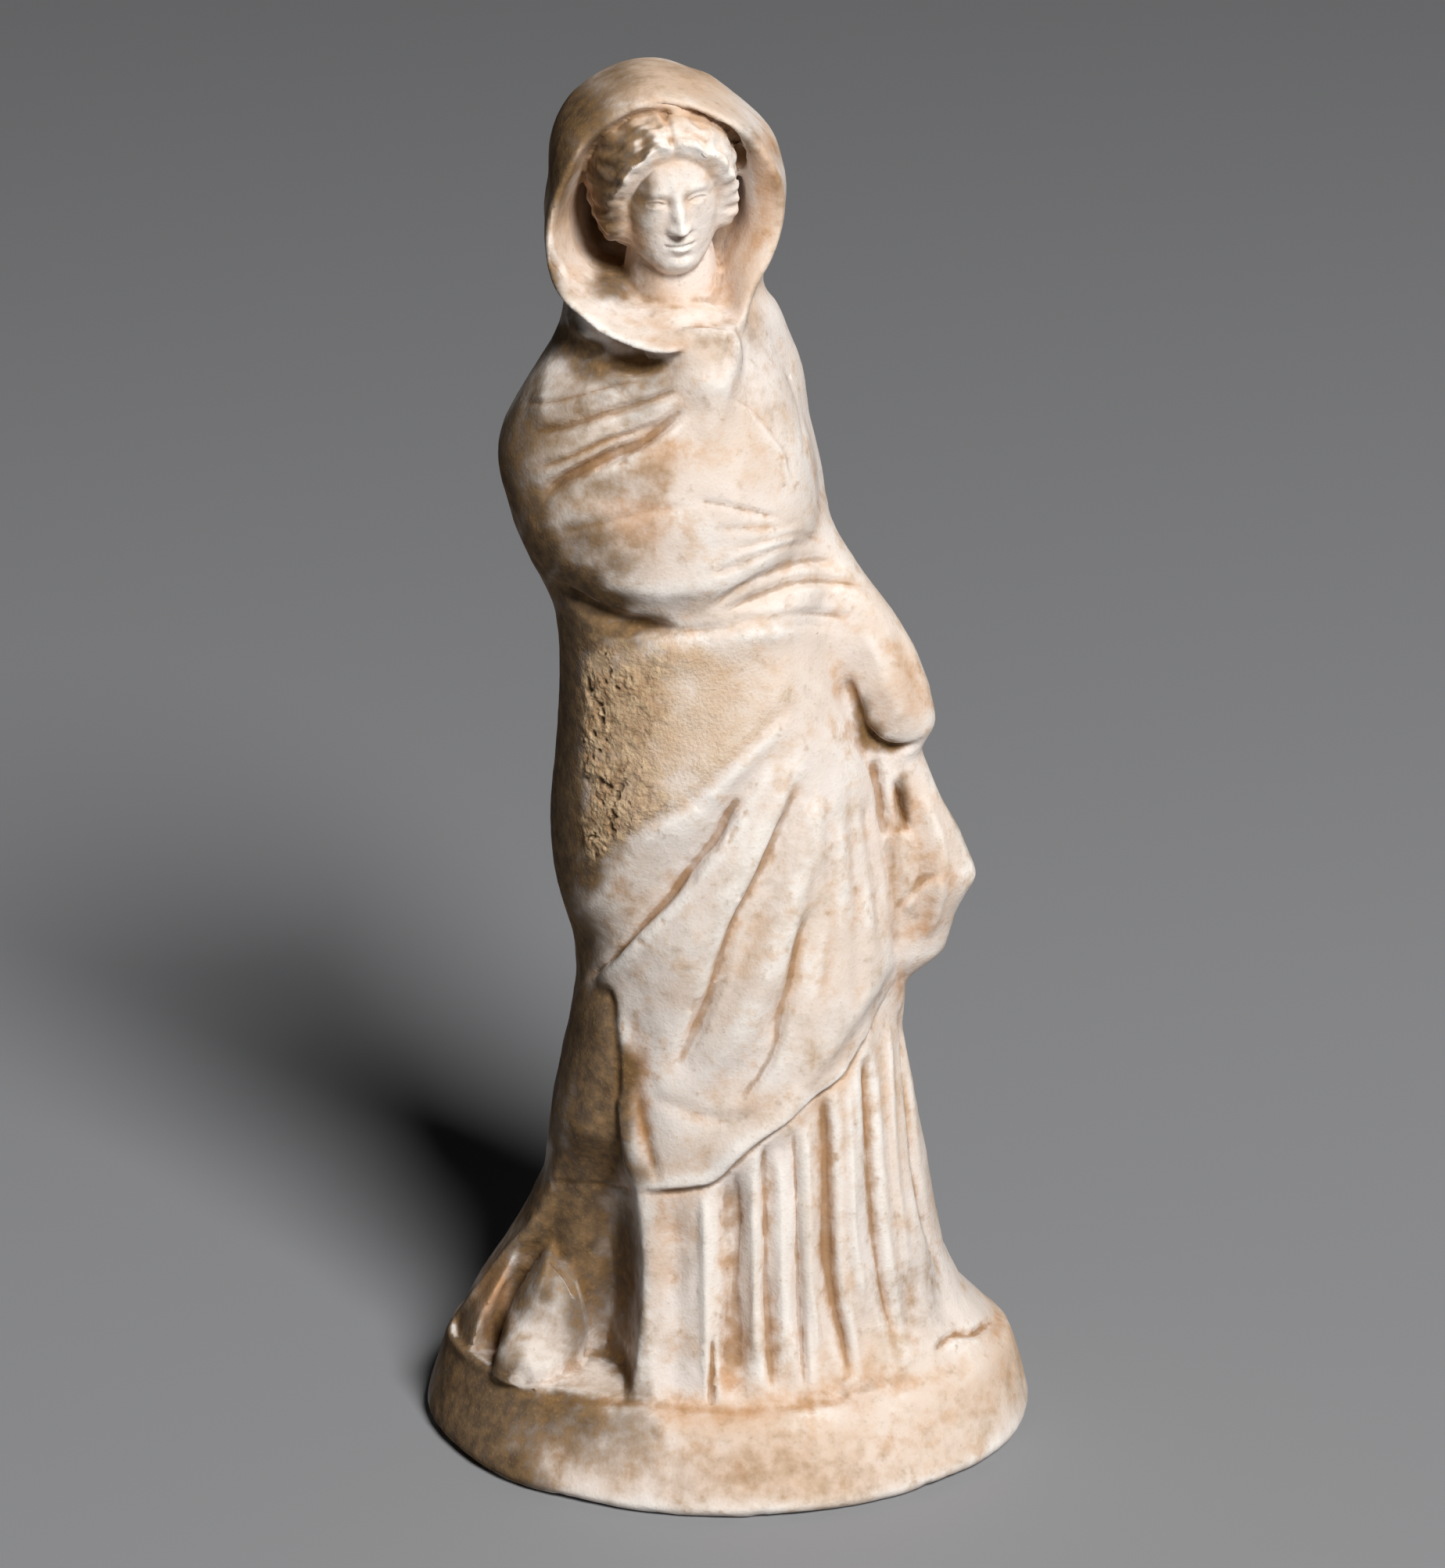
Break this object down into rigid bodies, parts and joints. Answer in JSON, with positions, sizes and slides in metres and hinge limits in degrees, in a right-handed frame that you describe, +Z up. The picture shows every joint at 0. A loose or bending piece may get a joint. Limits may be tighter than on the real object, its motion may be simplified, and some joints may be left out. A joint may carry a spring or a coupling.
{
  "type": "tanagra figurine",
  "caption": "Standing draped and veiled woman in painted terracotta on a low oval base, moulded in one piece, for display on a shelf.",
  "frame": {"origin": "middle of the base's flat underside", "axes": "+Z up, the figure faces -Y, +X is at her left hand"},
  "size_m": [0.088, 0.072, 0.2],
  "materials": {
    "terracotta": "matt fired clay under worn white slip, dusty and stained"
  },
  "bodies": {
    "root": {"figurine": "terracotta"}
  },
  "joints": []
}
